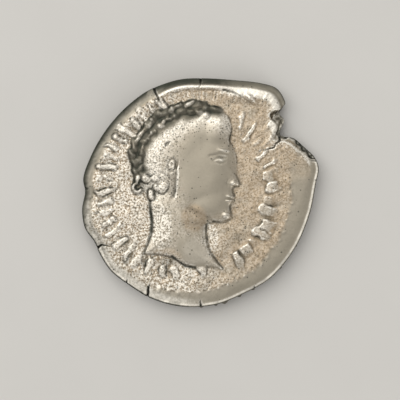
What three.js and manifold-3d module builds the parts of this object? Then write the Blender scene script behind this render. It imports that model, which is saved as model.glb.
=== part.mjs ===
// A struck silver denarius, worn, cracked and chipped, lying on its reverse with the portrait up.
// Millimetres, +Z up, +X to the portrait's right. The origin is the middle of the underside.
// The whole coin is one struck piece of metal, so it is one solid.
import * as THREE from "three";
import { mergeVertices } from "three/addons/utils/BufferGeometryUtils.js";
import Module from "manifold-3d";

const wasm = await Module();
wasm.setup();

// Levels above the table.
const COIN_TOP = 1.86; // the portrait's worn high points
const FIELD = 1.42; // the obverse field, round the portrait
const REVERSE_FIELD = 0.3; // the reverse field, as high as the reverse relief is deep
const LEDGE = 0.78; // the broken floor of the chip

// The flan.
const KNOT_STEPS = 2; // points along each stretch between two knots of the outline
const EDGE_LOW = 0.42; // the upright band of the edge starts here
const BEVEL_WIDE = 0.64; // the slope outside the raised rim, where the rim is highest
const BEVEL_NARROW = 0.1; // and across from it, on the thin side
const RIM_TURN = 118; // degrees: the direction in which the rim is highest
const RIM_TOP = 1.62;
const MARGIN_TOP = 1.38; // the plain margin on the thin side
const RIM_FOOT = 0.4; // from the rim's outer edge to its inner foot in the field
const MARGIN_WIDE = 1.5; // the plain margin slopes down to the field over this width

// The dies were set off the flan's middle.
const DIE = new THREE.Vector2(-0.95, 0.23);
const REVERSE_DIE = new THREE.Vector2(0.5, -0.2);
const BEAD_RING = 7.86;
const LEGEND_RING = 6.5;
const REVERSE_BEAD_RING = 7.45;
const REVERSE_LEGEND_RING = 6.3;

// The head, on the usual proportions: three and a half units from crown to chin.
const CROWN = 7.15;
const CHIN = -2.25;
const UNIT = (CROWN - CHIN) / 3.5;
const HAIRLINE = CROWN - UNIT / 2;
const BROW = HAIRLINE - UNIT;
const NOSE = BROW - UNIT;
const EYE = (CROWN + CHIN) / 2;
const BROW_X = 2.3; // the front of the brow, 7/8 of the head's height before its back

// The outline of the flan, clockwise from the crack at the upper left. The edge is uneven.
const FLAN = [
  [-3.25, 8.1], [-1.55, 8.62], [0.35, 8.7], [2.6, 8.56], [4.65, 8.32], [5.75, 7.95],
  [6.28, 7.25], [6.42, 6.75], [6.05, 6.3], [6.02, 6.02], [6.38, 5.55], [6.16, 4.95],
  [6.02, 4.45], [6.3, 4.3], [7.07, 4.16], [7.83, 3.54], [8.64, 2.76], [8.97, 1.9],
  [8.75, 0.68], [8.35, -1.36], [7.52, -3.55], [6.54, -5.1], [5.25, -6.5], [3.44, -7.55],
  [1.1, -8.47], [-1.55, -8.6], [-3.82, -7.96], [-5.33, -7.05], [-6.77, -5.94], [-7.66, -4.6],
  [-8.05, -3.7], [-8.77, -2.65], [-8.98, -1.2], [-8.76, 0.1], [-8.9, 1.1], [-8.32, 2.8],
  [-7.3, 4.61], [-5.9, 6.28], [-4.3, 7.58],
];

// Cracks run in from the edge, or across a face: mouth, inner end, width at the mouth, depth.
const THROUGH = 9;
const CRACKS = [
  { path: [[-3.66, 8.4], [-3.42, 7.66], [-3.1, 7.0], [-2.8, 6.45]], wide: 0.3, deep: THROUGH },
  { path: [[0.1, 8.9], [-0.1, 7.9]], wide: 0.16, deep: THROUGH },
  { path: [[2.5, 7.66], [3.5, 6.95]], wide: 0.12, deep: 0.14 },
  { path: [[6.02, 4.5], [5.98, 4.0], [5.5, 3.48], [4.9, 3.34], [4.3, 3.16]], wide: 0.3, deep: THROUGH },
  { path: [[9.1, 2.5], [8.3, 2.46]], wide: 0.24, deep: THROUGH },
  { path: [[4.3, -7.5], [3.98, -7.0]], wide: 0.22, deep: THROUGH },
  { path: [[0.05, -8.9], [-0.05, -7.9]], wide: 0.24, deep: THROUGH },
  { path: [[-4.0, -8.3], [-3.8, -7.1]], wide: 0.28, deep: THROUGH },
  { path: [[-5.75, -7.0], [-5.52, -6.55]], wide: 0.2, deep: THROUGH },
  { path: [[-8.1, -4.2], [-7.1, -3.9]], wide: 0.42, deep: THROUGH },
  { path: [[-9.1, 0.4], [-8.2, 0.38]], wide: 0.34, deep: THROUGH },
];

// Where the chip took the upper half of the edge away: down to the ledge.
const CHIP = [
  [6.9, 6.36], [6.12, 6.3], [5.62, 6.2], [5.28, 6.02], [5.32, 5.66], [5.62, 5.36], [5.84, 4.98],
  [5.78, 4.72], [5.66, 4.5], [5.9, 4.3], [6.05, 4.22], [6.5, 4.1], [7.0, 4.9], [7.1, 5.8],
];
// A second flake is gone from the edge just below it.
const FLAKE = [
  [7.05, 4.4], [7.35, 3.95], [7.8, 3.5], [8.25, 2.95], [8.45, 2.78], [8.8, 2.85], [8.5, 3.6], [7.8, 4.3],
];

// The portrait, as outlines round a middle. The face is a plain classical one.
const HEAD_MIDDLE = new THREE.Vector2(-1.4, 2.5);
const HEAD = [
  [0.6, HAIRLINE + 0.8], [1.3, HAIRLINE + 0.3], [BROW_X - 0.45, HAIRLINE - 0.3],
  [BROW_X - 0.12, BROW + 1.3], [BROW_X, BROW + 0.15], [BROW_X - 0.1, EYE + 0.15],
  [BROW_X + 0.3, EYE - 0.85], [BROW_X + 0.66, NOSE + 0.42], [BROW_X + 0.62, NOSE + 0.12],
  [BROW_X + 0.2, NOSE - 0.06], [BROW_X + 0.18, NOSE - 0.36], [BROW_X + 0.28, NOSE - 0.66],
  [BROW_X + 0.12, NOSE - 0.86], [BROW_X + 0.2, NOSE - 1.08], [BROW_X - 0.04, NOSE - 1.45],
  [BROW_X + 0.04, CHIN + 0.72], [BROW_X - 0.14, CHIN + 0.24], [BROW_X - 0.65, CHIN],
  [0.6, CHIN + 0.22], [-0.6, CHIN + 0.85], [-1.9, CHIN + 1.5], [-3.6, -0.55], [-4.7, 0.7],
  [-5.25, 2.0], [-5.3, 3.3], [-4.8, 4.7], [-3.8, 5.75], [-2.6, 6.5], [-1.2, 6.85],
];
const NECK_MIDDLE = new THREE.Vector2(-1.7, -3.2);
const NECK = [
  [-2.6, 0.2], [-3.85, -0.7], [-3.7, -2.1], [-3.72, -3.0], [-4.0, -3.8], [-4.3, -4.6],
  [-3.3, -4.68], [-2.3, -4.9], [-1.4, -5.4], [-0.5, -5.62], [0.7, -5.62], [1.75, -5.82],
  [1.25, -5.2], [0.75, -4.5], [0.48, -3.6], [0.45, -2.6], [0.5, -1.6], [-0.6, -0.4],
];

// Curls: the line that the rim of curls follows, from the forelock over the crown to the nape.
const CURL_LINE = [
  [1.25, 6.3], [0.35, 6.6], [-0.7, 6.8], [-1.9, 6.55], [-2.95, 6.1], [-3.75, 5.4], [-4.45, 4.7],
  [-4.95, 3.7], [-5.2, 2.7], [-5.15, 1.8], [-4.75, 0.95],
];
const CURL_STEP = 0.8; // from one curl to the next
const NAPE_CURL = { x: -4.72, y: 0.5, size: 0.56 };
const CROWN_WHORL = new THREE.Vector2(-2.6, 4.2); // the worn locks turn about this point

// The legend is worn down to plain strokes: each run's first and last direction, its number of
// strokes, and its lean, all in degrees round the die's middle.
const LEGEND = [
  { from: 106, to: 136, count: 5, lean: 14 },
  { from: 144, to: 172, count: 5, lean: -16 },
  { from: 179, to: 209, count: 5, lean: 12 },
  { from: 217, to: 243, count: 4, lean: -10 },
  { from: 252, to: 280, count: 4, lean: 16 },
  { from: 305, to: 330, count: 4, lean: 12 },
  { from: 337, to: 370, count: 5, lean: -14 },
  { from: 378, to: 412, count: 5, lean: 18 },
];
const REVERSE_LEGEND = [
  { from: 20, to: 74, count: 5, lean: 10 },
  { from: 106, to: 160, count: 5, lean: -12 },
  { from: 198, to: 242, count: 5, lean: 14 },
  { from: 298, to: 342, count: 5, lean: -10 },
];

// The robe of the reverse's standing figure.
const ROBE = [
  [-0.9, 3.1], [-1.25, 1.6], [-1.0, 0.1], [-1.5, -2.2], [-1.75, -4.9], [0.2, -5.15], [1.9, -4.9],
  [1.55, -2.2], [1.05, 0.1], [1.35, 1.7], [0.9, 3.15], [0, 3.6],
];

const SILVER = new THREE.MeshStandardMaterial({ color: 0xb9ab92, roughness: 0.45, metalness: 0.9 });

// ---- Basic forms -------------------------------------------------------------------------

const degrees = THREE.MathUtils.degToRad;
const mix = THREE.MathUtils.lerp;

// A closed three.js geometry as a solid for joining and cutting.
function solid(geometry) {
  const points = new THREE.BufferGeometry();
  points.setAttribute("position", geometry.getAttribute("position"));
  points.setIndex(geometry.getIndex());
  const merged = mergeVertices(points, 1e-4);
  return new wasm.Manifold(new wasm.Mesh({
    numProp: 3,
    vertProperties: merged.getAttribute("position").array,
    triVerts: new Uint32Array(merged.getIndex().array),
  }));
}

// A joined solid as a three.js geometry.
function geometryOf(piece) {
  const { vertProperties, triVerts } = piece.getMesh();
  const geometry = new THREE.BufferGeometry();
  geometry.setAttribute("position", new THREE.BufferAttribute(vertProperties, 3));
  geometry.setIndex(new THREE.BufferAttribute(triVerts, 1));
  return geometry;
}

// A solid through rings of points, from the lowest ring to the highest, each seen from above
// anticlockwise. Both ends are closed by a fan about the ring's middle.
function loft(rings, middle) {
  const size = rings[0].length;
  const points = rings.flat();
  const ends = [rings[0], rings[rings.length - 1]].map((ring) => {
    const height = ring.reduce((sum, p) => sum + p.z, 0) / size;
    return points.push(new THREE.Vector3(middle.x, middle.y, height)) - 1;
  });
  const faces = [];
  for (let i = 0; i < size; i++) {
    const next = (i + 1) % size;
    for (let low = 0; low < size * (rings.length - 1); low += size) {
      faces.push(low + i, low + next, low + size + next, low + i, low + size + next, low + size + i);
    }
    const top = size * (rings.length - 1);
    faces.push(ends[0], next, i, ends[1], top + i, top + next);
  }
  const geometry = new THREE.BufferGeometry().setFromPoints(points);
  geometry.setIndex(faces);
  return solid(geometry);
}

// Points along a closed smooth curve through the knots, turned to run anticlockwise.
function closedCurve(knots, steps) {
  const corners = knots.map(([x, y]) => new THREE.Vector3(x, y, 0));
  const curve = new THREE.CatmullRomCurve3(corners, true, "centripetal");
  const points = curve.getPoints(knots.length * steps).slice(0, -1);
  return THREE.ShapeUtils.isClockWise(points) ? points.reverse() : points;
}

// The outline drawn in towards a middle by a distance, and set at a height.
function ringAt(outline, middle, inset, height) {
  return outline.map((p) => {
    const reach = Math.hypot(p.x - middle.x, p.y - middle.y);
    const share = Math.max(1 - inset / reach, 0.06);
    return new THREE.Vector3(
      middle.x + (p.x - middle.x) * share, middle.y + (p.y - middle.y) * share, height);
  });
}

// A low swelling form with the given outline, its layers as [inset, height].
function cushion(knots, middle, layers, steps = 2) {
  const outline = closedCurve(knots, steps);
  return loft(layers.map(([inset, height]) => ringAt(outline, middle, inset, height)), middle);
}

// A turned form set at a place on a face, drawn out along its own x and turned about z.
function mound({ x, y, long, wide, top, foot, turn = 0, sides = 7, profile = DOME }) {
  const points = profile.map(([r, h]) => new THREE.Vector2(r, mix(foot, top, h)));
  const shape = new THREE.LatheGeometry([new THREE.Vector2(0, foot), ...points], sides);
  shape.rotateX(Math.PI / 2).scale(long, wide, 1).rotateZ(degrees(turn)).translate(x, y, 0);
  return solid(shape);
}
// Profiles of mounds, as [share of the radius, share of the height], foot first.
const DOME = [[1, 0], [0.86, 0.62], [0.5, 0.92], [0, 1]];
const CURL = [[1, 0], [0.66, 1], [0, 0.7]];
const BEAD = [[1, 0], [0.55, 1], [0, 1]];

// A short straight stroke with sloping sides and ends.
function stroke({ x, y, long, wide, top, foot, turn }) {
  const shape = new THREE.CylinderGeometry(0.44, 0.7071, 1, 4);
  shape.rotateX(Math.PI / 2).rotateZ(Math.PI / 4).scale(long, wide, top - foot);
  shape.rotateZ(degrees(turn)).translate(x, y, (top + foot) / 2);
  return solid(shape);
}

const join = (forms) => forms.reduce((all, form) => all.add(form));
const onRing = (middle, radius, turn) => new THREE.Vector2(
  middle.x + radius * Math.cos(degrees(turn)), middle.y + radius * Math.sin(degrees(turn)));

// ---- The flan ----------------------------------------------------------------------------

// How strongly the rim is raised in a direction: 1 at its highest, 0 on the thin side.
function rimShare(point) {
  const away = Math.atan2(point.y, point.x) - degrees(RIM_TURN);
  return THREE.MathUtils.smoothstep(Math.cos(away), -0.45, 0.55);
}

function flan() {
  const outline = closedCurve(FLAN, KNOT_STEPS);
  const ring = (thin, thick) => outline.map((p) => {
    const share = rimShare(p);
    const inset = mix(thin.inset, thick.inset, share);
    const scale = 1 - inset / Math.hypot(p.x, p.y);
    return new THREE.Vector3(p.x * scale, p.y * scale, mix(thin.z, thick.z, share));
  });
  const even = (inset, z) => ring({ inset, z }, { inset, z });
  return loft([
    even(1.2, REVERSE_FIELD),
    even(0.78, 0),
    even(0.4, 0),
    even(0, EDGE_LOW),
    ring({ inset: 0, z: 1.02 }, { inset: 0, z: 0.9 }),
    ring({ inset: BEVEL_NARROW / 2, z: 1.26 }, { inset: 0.16, z: 1.18 }),
    ring({ inset: BEVEL_NARROW * 2, z: MARGIN_TOP }, { inset: BEVEL_WIDE, z: RIM_TOP }),
    ring({ inset: BEVEL_NARROW * 4, z: MARGIN_TOP }, { inset: BEVEL_WIDE + 0.14, z: RIM_TOP }),
    ring({ inset: MARGIN_WIDE, z: FIELD }, { inset: BEVEL_WIDE + RIM_FOOT, z: FIELD }),
  ], new THREE.Vector2(0, 0));
}

// ---- The portrait ------------------------------------------------------------------------

const SUNK = FIELD - 0.2; // relief forms start below the field, so that they are one with it

// Two rows of curls: each row's distance in from the curl line, its curls' radius and foot.
const CURL_ROWS = [{ inset: 0, size: 0.52, foot: SUNK }, { inset: 0.74, size: 0.44, foot: SUNK }];

// A height over the obverse field, as a share of the relief.
const rise = (share) => FIELD + share * (COIN_TOP - FIELD);

function head() {
  return [
    cushion(HEAD, HEAD_MIDDLE, [
      [-0.03, SUNK], [0, FIELD], [0.1, rise(0.42)], [0.34, rise(0.6)], [0.9, rise(0.74)],
      [1.8, rise(0.84)],
    ]),
    cushion(NECK, NECK_MIDDLE, [
      [-0.03, SUNK], [0, FIELD], [0.1, rise(0.34)], [0.36, rise(0.54)], [0.9, rise(0.64)],
    ]),
  ];
}

function face() {
  const foot = rise(0.1);
  return [
    // the cheek worn to a smooth plane, the jaw and the forehead
    mound({ x: 0.3, y: NOSE + 0.55, long: 2.1, wide: 1.5, turn: 66, top: rise(1.12), foot, sides: 12 }),
    mound({ x: 0.75, y: CHIN + 1.1, long: 1.25, wide: 0.9, turn: 18, top: rise(0.96), foot, sides: 8 }),
    mound({ x: 1.35, y: HAIRLINE - 1.1, long: 1.2, wide: 0.72, turn: 78, top: rise(0.92), foot, sides: 8 }),
    // the brow, the eye in its lids, the wing of the nose, the lips and the chin
    mound({ x: 1.6, y: BROW + 0.1, long: 0.8, wide: 0.24, turn: -8, top: rise(1), foot }),
    mound({ x: 1.52, y: EYE + 0.02, long: 0.5, wide: 0.25, turn: -6, top: rise(0.96), foot, profile: CURL }),
    mound({ x: BROW_X + 0.16, y: NOSE + 0.34, long: 0.42, wide: 0.28, turn: 24, top: rise(0.84), foot }),
    mound({ x: BROW_X - 0.14, y: NOSE - 0.7, long: 0.44, wide: 0.14, turn: -12, top: rise(0.84), foot }),
    mound({ x: BROW_X - 0.18, y: NOSE - 1.02, long: 0.4, wide: 0.15, turn: 8, top: rise(0.84), foot }),
    mound({ x: BROW_X - 0.42, y: CHIN + 0.56, long: 0.46, wide: 0.4, top: rise(0.92), foot }),
    // the chest's worn plane, down to its pointed front
    mound({ x: -0.45, y: -4.35, long: 1.45, wide: 0.8, turn: -46, top: rise(0.86), foot, sides: 10 }),
  ];
}

// The ear stands level with the eye and the nose, behind the middle of the head.
function ear() {
  const shell = { x: -2.0, y: (EYE + NOSE) / 2 + 0.2, turn: 78 };
  return [
    mound({ ...shell, long: 0.95, wide: 0.55, top: rise(1), foot: rise(0.5), sides: 10, profile: CURL }),
    mound({ x: -2.1, y: NOSE + 0.3, long: 0.3, wide: 0.26, top: rise(1), foot: rise(0.5) }),
  ];
}

// Rows of ring-shaped curls round the head, and long worn locks over the crown.
function hair() {
  const line = new THREE.CatmullRomCurve3(CURL_LINE.map(([x, y]) => new THREE.Vector3(x, y, 0)));
  const forms = [];
  const curl = (x, y, size, top, foot = rise(0.3), turn = 0) => forms.push(
    mound({ x, y, long: size, wide: size * 0.8, turn, foot, top, sides: 6, profile: CURL }));
  CURL_ROWS.forEach(({ inset, size, foot }, row) => {
    const count = Math.floor((line.getLength() - inset * 2) / CURL_STEP);
    for (let i = 0; i <= count; i++) {
      const place = line.getPointAt((i + row / 2) / (count + 0.5));
      place.lerp(new THREE.Vector3(HEAD_MIDDLE.x, HEAD_MIDDLE.y, 0), inset / 4.4);
      curl(place.x, place.y, size * (1.05 - 0.14 * (i % 2)), rise(0.94 - 0.06 * (i % 3)), foot, 57 * i);
    }
  });
  curl(NAPE_CURL.x, NAPE_CURL.y, NAPE_CURL.size, rise(0.8), SUNK);
  // small curls down the nape and before the ear
  for (let i = 0; i < 4; i++) {
    curl(-3.35 - 0.12 * (i % 2), 2.2 - 0.72 * i, 0.42, rise(1));
    if (i < 3) curl(-1.1 + 0.08 * i, 4.1 - 0.66 * i, 0.36, rise(1));
  }
  // locks fan from the crown
  for (let i = 0; i < 10; i++) {
    for (const reach of [0.7, 1.7]) {
      const turn = 75 - i * 30 + reach * 12;
      const place = onRing(CROWN_WHORL, reach, turn);
      if (place.x > -0.9 || place.y < 2.4) continue;
      forms.push(mound({
        x: place.x, y: place.y, long: 0.56, wide: 0.2, turn: turn + 36, sides: 6,
        foot: rise(0.4), top: rise(1), profile: BEAD,
      }));
    }
  }
  return forms;
}

// ---- Legends and borders -----------------------------------------------------------------

function legend(runs, middle, ring, top, foot) {
  return runs.flatMap(({ from, to, count, lean }) => Array.from({ length: count }, (_, i) => {
    const turn = mix(from, to, i / (count - 1));
    const place = onRing(middle, ring - 0.14 * (i % 2), turn);
    return stroke({
      x: place.x, y: place.y, turn: turn + lean * (i % 2 ? 1 : -0.6),
      long: 1.5 - 0.3 * (i % 3), wide: 0.42 + 0.1 * (i % 2), top, foot,
    });
  }));
}

function beads(middle, ring, from, to, step, top, foot) {
  const count = Math.round((to - from) / step);
  return Array.from({ length: count + 1 }, (_, i) => {
    const place = onRing(middle, ring, from + i * step);
    return mound({ x: place.x, y: place.y, long: 0.24, wide: 0.24, top, foot, sides: 5, profile: BEAD });
  });
}

// ---- The reverse -------------------------------------------------------------------------

// A worn figure in a long robe, with a staff. It is built like the obverse, then turned over.
function reverse() {
  const sunk = -0.2;
  const middle = new THREE.Vector2(0, 0);
  const raised = (share) => share * REVERSE_FIELD;
  const forms = [
    cushion(ROBE, new THREE.Vector2(0, -0.8), [
      [-0.02, sunk], [0, 0], [0.14, raised(0.5)], [0.5, raised(0.66)],
    ]),
    mound({ x: 0, y: 4.35, long: 0.8, wide: 0.95, top: raised(0.98), foot: sunk, sides: 12 }),
    mound({ x: -2.0, y: 1.75, long: 1.5, wide: 0.5, turn: 22, top: raised(0.8), foot: sunk }),
    mound({ x: 1.9, y: 1.9, long: 1.5, wide: 0.5, turn: 34, top: raised(0.8), foot: sunk }),
    stroke({ x: 3.0, y: -0.6, long: 8.6, wide: 0.5, turn: 90, top: raised(0.7), foot: sunk }),
    stroke({ x: 0, y: -5.7, long: 7.6, wide: 0.55, turn: 0, top: raised(0.7), foot: sunk }),
  ];
  // the robe's folds, and the roll of cloth over its waist
  for (let i = 0; i < 5; i++) {
    forms.push(mound({
      x: -1.04 + 0.52 * i, y: -2.75, long: 2.1 - 0.2 * (i % 2), wide: 0.25, turn: 94 - 2.6 * i,
      top: raised(1.05), foot: raised(0.2),
    }));
  }
  forms.push(mound({ x: 0.05, y: 0.3, long: 1.35, wide: 0.4, turn: -24, top: raised(1.05), foot: 0 }));
  forms.push(mound({ x: 0, y: 2.2, long: 0.95, wide: 0.8, top: raised(1.1), foot: 0 }));
  const worn = join([
    ...forms,
    ...legend(REVERSE_LEGEND, middle, REVERSE_LEGEND_RING, raised(0.7), sunk),
    ...beads(middle, REVERSE_BEAD_RING, 165, 253, 8, raised(0.6), sunk),
  ]);
  return solid(geometryOf(worn).rotateX(Math.PI).translate(REVERSE_DIE.x, REVERSE_DIE.y, REVERSE_FIELD));
}

// ---- Damage ------------------------------------------------------------------------------

// A crack is a thin wedge along its path, wide at the mouth and closed at the inner end.
function crack({ path, wide, deep }) {
  const points = path.map(([x, y]) => new THREE.Vector2(x, y));
  const sides = points.map((p, i) => {
    const before = points[Math.max(i - 1, 0)];
    const after = points[Math.min(i + 1, points.length - 1)];
    const across = after.clone().sub(before).normalize().rotateAround(new THREE.Vector2(), Math.PI / 2);
    return across.multiplyScalar(wide / 2 * (1 - 0.86 * i / (points.length - 1)));
  });
  const left = points.map((p, i) => p.clone().add(sides[i]));
  const right = points.map((p, i) => p.clone().sub(sides[i])).reverse();
  const shape = new THREE.Shape([...left, ...right]);
  const cut = new THREE.ExtrudeGeometry(shape, { depth: deep + 1, bevelEnabled: false });
  return solid(cut.translate(0, 0, FIELD - deep));
}

// A broken-away part of the edge, down to a rough floor that falls towards the outside.
function brokenPart(knots, floor) {
  const middle = knots.reduce((sum, [x, y]) => sum.add(new THREE.Vector2(x, y)), new THREE.Vector2())
    .divideScalar(knots.length);
  const outline = closedCurve(knots, 1);
  const rough = (inset, base) => ringAt(outline, middle, inset, base).map((p, i) =>
    p.setZ(base + 0.09 * Math.sin(2.6 * i)));
  const mouth = ringAt(outline, middle, 0, COIN_TOP + 1);
  return loft([rough(0.5, floor), rough(0.14, floor + 0.1), mouth], middle);
}

// ---- The coin ----------------------------------------------------------------------------

function coin() {
  const struck = join([
    flan(),
    ...head(),
    ...face(),
    ...ear(),
    ...hair(),
    ...legend(LEGEND, DIE, LEGEND_RING, FIELD + 0.2, SUNK),
    ...beads(DIE, BEAD_RING, 254, 364, 5.5, FIELD + 0.1, SUNK),
    reverse(),
  ]);
  const damage = join([...CRACKS.map(crack), brokenPart(CHIP, LEDGE), brokenPart(FLAKE, LEDGE)]);
  // wear: nothing stands above the portrait's worn plane or below the reverse's
  const slab = new THREE.BoxGeometry(30, 30, COIN_TOP).translate(0, 0, COIN_TOP / 2);
  return struck.subtract(damage).intersect(solid(slab));
}

const denarius = new THREE.Mesh(geometryOf(coin()), SILVER);
denarius.name = "denarius";

const part = new THREE.Group();
part.add(denarius);

export default part;
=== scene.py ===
"""A struck silver denarius, worn, cracked and chipped, lying on its reverse, portrait up."""
import math

import bpy
import numpy as np
from bpy.props import FloatProperty, FloatVectorProperty, IntProperty, PointerProperty
from bpy.types import Operator, Panel, PropertyGroup
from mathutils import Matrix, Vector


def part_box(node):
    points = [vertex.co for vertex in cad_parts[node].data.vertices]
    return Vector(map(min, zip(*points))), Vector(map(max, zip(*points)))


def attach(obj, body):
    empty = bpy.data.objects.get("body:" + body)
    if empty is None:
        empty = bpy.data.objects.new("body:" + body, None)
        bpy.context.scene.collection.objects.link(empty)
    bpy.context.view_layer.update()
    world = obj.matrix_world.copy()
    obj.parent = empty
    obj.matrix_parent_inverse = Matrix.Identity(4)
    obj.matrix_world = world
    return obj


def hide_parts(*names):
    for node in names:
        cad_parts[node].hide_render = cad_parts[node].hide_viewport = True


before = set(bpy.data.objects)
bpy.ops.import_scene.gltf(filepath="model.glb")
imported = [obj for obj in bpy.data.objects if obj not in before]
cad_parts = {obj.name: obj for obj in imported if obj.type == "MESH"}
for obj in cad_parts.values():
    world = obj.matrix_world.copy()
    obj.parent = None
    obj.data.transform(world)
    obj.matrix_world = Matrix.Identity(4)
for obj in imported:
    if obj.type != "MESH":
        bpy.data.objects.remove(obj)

bl_info = {
    "name": "Worn denarius",
    "version": (1, 0, 0),
    "blender": (4, 5, 0),
    "location": "3D View > Sidebar > Denarius",
    "description": "Makes a worn silver denarius, its toned silver and its stage",
    "category": "Add Mesh",
}

MM = 1000.0  # millimetres in a metre: the relief is worked out in millimetres
GRID = 0.04  # mm between the points on which the relief is worked out
FAR, TINY = 1e9, 1e-12  # more and less than any distance here

# ---- The coin's named sizes, in millimetres and degrees ----

LOW, HIGH = (np.array(corner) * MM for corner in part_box("denarius"))

# the edge, as distances in from the outline and heights
THIN_EDGE = [(0, 1.08), (0.03, 1.28), (0.1, 1.36), (0.22, 1.39), (1.5, 1.42)]
RIM_EDGE = [(0, 0.9), (0.14, 1.18), (0.72, 1.59), (0.94, 1.62), (1.16, 1.48)]
WORN_EDGE = [(0, 0.9), (0.14, 1.14), (0.6, 1.42), (1.0, 1.5), (1.5, 1.45)]
SHOULDER = [(0, 0.95), (0.14, 1.28), (0.6, 1.5), (1.1, 1.56), (1.9, 1.44)]
FOOT = 0.42  # height at which the edge turns under
UNDER_EDGE = [(0, FOOT), (0.4, 0.0), (0.78, 0.0), (1.2, 0.3)]
RIM_TURN = 118  # the direction in which the rim is highest
# parts of the edge: direction, degrees that it reaches to either side, degrees over which it fades
SHOULDER_PART = (58, 26, 16)  # the rim's slope is worn to a broad shoulder
CREST_PART = (86, 34, 14)  # the rim's sharp crest is left
FLAKE_PART = (26, 13, 5)  # a short crest inside the flake
MARGIN_PART = (308, 75, 20)  # the field ends at the beads, with a plain margin outside them
RUBBED_HIGHLIGHT_PART = (226, 50, 22)  # the thin edge is rubbed bright, with a painted highlight along it
OUTLINED_PART = (225, 42, 10)  # and its dark outline is a little wider
LUMP = ((3.75, 7.2), 0.8, 0.42, -38)  # beside the hairline crack, where the flan split

# the dies were set off the flan's middle
DIE = (-0.95, 0.23)
REVERSE_DIE = (0.5, -0.2)
BEAD_RING, LEGEND_RING = 7.86, 6.5
REVERSE_BEAD_RING, REVERSE_LEGEND_RING = 7.45, 6.3
# how far strokes and beads stand out over the field, and are sunk in it
LEGEND_RISE, LEGEND_FOOT = 0.18, 0.03
BEAD_RISE, BEAD_FOOT = 0.024, 0.05
# where beads are left: first and last direction, and the degrees between two of them
BEAD_ARC, REVERSE_BEAD_ARC = (254, 364, 5.5), (165, 253, 8)

# the head, on the usual proportions: three and a half units from crown to chin
CROWN, CHIN = 7.15, -2.25
UNIT = (CROWN - CHIN) / 3.5
HAIRLINE = CROWN - UNIT / 2
BROW = HAIRLINE - UNIT
NOSE = BROW - UNIT
EYE = (CROWN + CHIN) / 2
BROW_X = 2.3

# the outline of the flan, clockwise from the crack at the upper left
FLAN = [
    (-3.25, 8.1), (-1.55, 8.62), (0.35, 8.7), (2.6, 8.56), (4.65, 8.32), (5.75, 7.95),
    (6.28, 7.25), (6.42, 6.75), (6.05, 6.3), (6.02, 6.02), (6.38, 5.55), (6.16, 4.95),
    (6.02, 4.45), (6.3, 4.3), (7.07, 4.16), (7.83, 3.54), (8.64, 2.76), (8.97, 1.9),
    (8.75, 0.68), (8.35, -1.36), (7.52, -3.55), (6.54, -5.1), (5.25, -6.5), (3.44, -7.55),
    (1.1, -8.47), (-1.55, -8.6), (-3.82, -7.96), (-5.33, -7.05), (-6.77, -5.94), (-7.66, -4.6),
    (-8.05, -3.7), (-8.77, -2.65), (-8.98, -1.2), (-8.76, 0.1), (-8.9, 1.1), (-8.32, 2.8),
    (-7.3, 4.61), (-5.9, 6.28), (-4.3, 7.58),
]

# cracks: path from the mouth to the inner end, width at the mouth, depth at the mouth
CRACKS = [
    ([(-3.66, 8.4), (-3.42, 7.66), (-3.1, 7.0), (-2.8, 6.45)], 0.13, 0.32),
    ([(0.1, 8.9), (-0.1, 7.9)], 0.12, 0.3),
    ([(1.75, 7.8), (2.5, 7.66), (3.1, 7.3), (3.5, 6.95)], 0.14, 0.16),
    ([(6.02, 4.5), (5.98, 4.0), (5.5, 3.48), (4.9, 3.34), (4.3, 3.16)], 0.12, 0.34),
    ([(9.1, 2.5), (8.3, 2.46)], 0.16, 0.3),
    ([(4.3, -7.5), (3.98, -7.0)], 0.13, 0.5),
    ([(0.05, -8.9), (-0.02, -8.1)], 0.11, 0.3),
    ([(-4.0, -8.3), (-3.95, -7.4), (-3.85, -6.9)], 0.17, 0.7),
    ([(-5.75, -7.0), (-5.52, -6.55)], 0.13, 0.5),
    ([(-8.1, -4.2), (-7.1, -3.9)], 0.2, 0.42),
    ([(-9.1, 0.4), (-8.5, 0.3)], 0.16, 0.26),
]
# where the chip and the flake below it took the upper half of the edge away
CHIP = [
    (6.9, 6.36), (6.12, 6.3), (5.62, 6.2), (5.28, 6.02), (5.32, 5.66), (5.62, 5.36), (5.84, 4.98),
    (5.78, 4.72), (5.66, 4.5), (5.9, 4.3), (6.05, 4.22), (6.5, 4.1), (7.0, 4.9), (7.1, 5.8),
]
FLAKE = [
    (6.9, 4.6), (6.84, 4.14), (7.12, 4.0), (7.22, 3.66), (7.56, 3.44), (7.66, 3.14), (7.98, 3.04),
    (8.16, 2.7), (8.44, 2.52), (8.9, 2.5), (8.7, 3.4), (7.8, 4.3),
]
# lumps of the lower edge that stand out below the thin side: direction, width, reach
BURRS = [(270.5, 2.6, 0.18), (278, 2.2, 0.2), (282.5, 3.0, 0.24), (291, 2.4, 0.18), (299, 2, 0.14),
         (317, 2.2, 0.17), (331, 1.8, 0.14)]

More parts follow.
